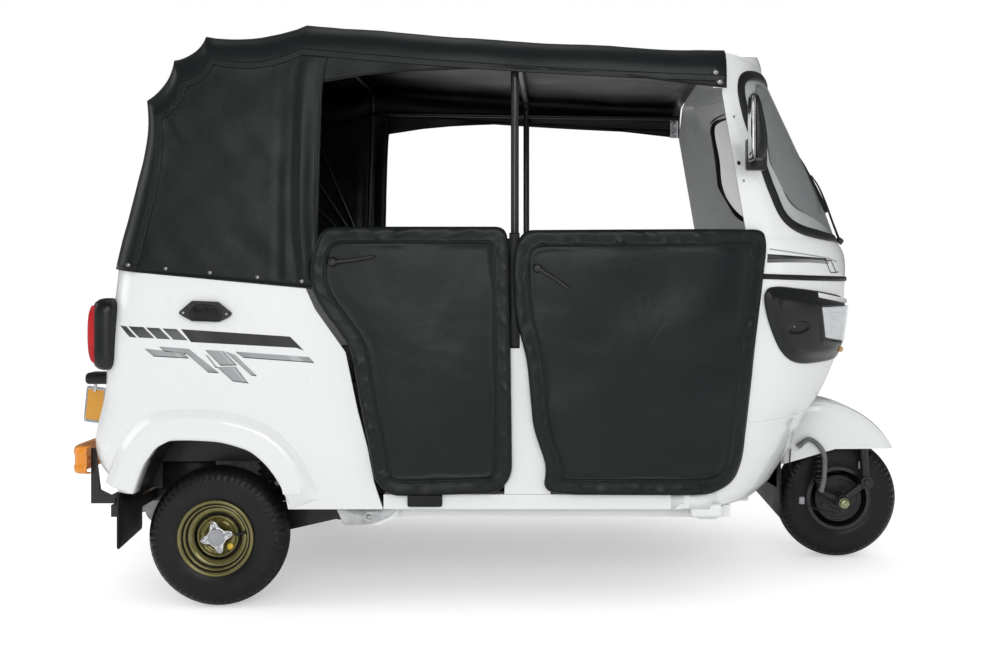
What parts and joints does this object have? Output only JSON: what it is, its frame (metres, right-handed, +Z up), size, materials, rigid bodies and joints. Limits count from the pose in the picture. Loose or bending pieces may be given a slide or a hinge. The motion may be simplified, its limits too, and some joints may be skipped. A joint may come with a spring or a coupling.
{
  "type": "three-wheeled auto rickshaw",
  "caption": "Three-wheeled passenger vehicle with a white body, black folding vinyl hood, soft doors, handlebar steering and an open cabin.",
  "frame": {"origin": "centre of the bounding box's base, on the ground", "axes": "+X forward, +Y to the vehicle's left, +Z up"},
  "size_m": [2.6494, 1.52, 1.748],
  "materials": {
    "white_paint": "gloss white enamel",
    "clear_glass": "clear laminated pane",
    "black_rubber": "matte black rubber",
    "black_steel": "satin black paint",
    "black_plastic": "grained matte black",
    "seat_vinyl": "dark grained leatherette",
    "hood_vinyl": "coated black canvas",
    "door_vinyl": "coated black canvas",
    "clear_vinyl": "clear flexible sheet",
    "black_tube": "satin black paint",
    "clear_lens": "clear moulded lens",
    "red_lens": "gloss red lens",
    "plate_yellow": "blank yellow plate",
    "orange_paint": "gloss orange",
    "grey_castings": "cast grey",
    "dark_steel": "dull steel",
    "tyre_rubber": "black rubber",
    "rim_black": "satin black paint",
    "rim_olive": "olive gold enamel",
    "grey_conduit": "corrugated grey sleeve"
  },
  "bodies": {
    "body": {"nose_panel": "white_paint", "windscreen_frame": "white_paint", "windscreen": "clear_glass", "windscreen_seal": "black_rubber", "rear_side_panel_left": "white_paint", "rear_side_panel_right": "white_paint", "rear_panel": "white_paint", "side_frame": "white_paint", "floor_pan": "black_steel", "seat_box": "black_steel", "front_wheel_well": "black_steel", "dashboard": "black_plastic", "passenger_seat": "seat_vinyl", "driver_seat": "seat_vinyl", "hood_cloth": "hood_vinyl", "rear_window": "clear_vinyl", "hood_frame": "black_tube", "headlamp_housings": "black_plastic", "headlamp_lenses": "clear_lens", "mirrors": "black_plastic", "wiper": "black_steel", "tail_lamps": "black_plastic", "number_plate": "plate_yellow", "rear_bumper": "orange_paint", "chassis_frame": "black_steel", "mud_flaps": "black_rubber", "engine_and_silencer": "grey_castings", "rear_arms": "black_steel", "side_vents": "black_plastic"},
    "engine_lid": {"engine_lid": "white_paint"},
    "front_wheel": {"front_tyre": "tyre_rubber", "front_rim": "rim_black"},
    "rear_wheel_left": {"rear_tyre_left": "tyre_rubber", "rear_rim_left": "rim_olive"},
    "rear_wheel_right": {"rear_tyre_right": "tyre_rubber", "rear_rim_right": "rim_olive"},
    "steering": {"fork": "black_steel", "front_spring": "black_steel", "handlebar": "black_steel", "front_mudguard": "white_paint", "front_hose": "grey_conduit"},
    "front_door_left": {"front_door_left": "door_vinyl"},
    "front_door_right": {"front_door_right": "door_vinyl"},
    "rear_door_left": {"rear_door_left": "door_vinyl"},
    "rear_door_right": {"rear_door_right": "door_vinyl"}
  },
  "joints": [
    {"name": "steering", "type": "hinge", "parent": "body", "child": "steering", "pos_m": [1.18, 0, 0], "axis": [-0.342, 0, 0.9397], "range_deg": [-40, 40]},
    {"name": "front_wheel_spin", "type": "hinge", "parent": "steering", "child": "front_wheel", "pos_m": [1.1155, 0, 0.2085], "axis": [0, 1, 0], "continuous": true},
    {"name": "rear_wheel_left_spin", "type": "hinge", "parent": "body", "child": "rear_wheel_left", "pos_m": [-0.8695, 0.575, 0.2085], "axis": [0, 1, 0], "continuous": true},
    {"name": "rear_wheel_right_spin", "type": "hinge", "parent": "body", "child": "rear_wheel_right", "pos_m": [-0.8695, -0.575, 0.2085], "axis": [0, 1, 0], "continuous": true},
    {"name": "front_door_left_hinge", "type": "hinge", "parent": "body", "child": "front_door_left", "pos_m": [0.718, 0.576, 0.437], "axis": [0.0858, 0.0326, 0.9958], "range_deg": [-70, 0]},
    {"name": "front_door_right_hinge", "type": "hinge", "parent": "body", "child": "front_door_right", "pos_m": [0.718, -0.576, 0.437], "axis": [0.0858, -0.0326, 0.9958], "range_deg": [0, 70]},
    {"name": "rear_door_left_hinge", "type": "hinge", "parent": "body", "child": "rear_door_left", "pos_m": [0.012, 0.663, 0.74], "axis": [0, 0, 1], "range_deg": [-70, 0]},
    {"name": "rear_door_right_hinge", "type": "hinge", "parent": "body", "child": "rear_door_right", "pos_m": [0.012, -0.663, 0.74], "axis": [0, 0, 1], "range_deg": [0, 70]},
    {"name": "engine_lid_hinge", "type": "hinge", "parent": "body", "child": "engine_lid", "pos_m": [-1.21, 0, 0.944], "axis": [0, 1, 0], "range_deg": [0, 75]}
  ]
}
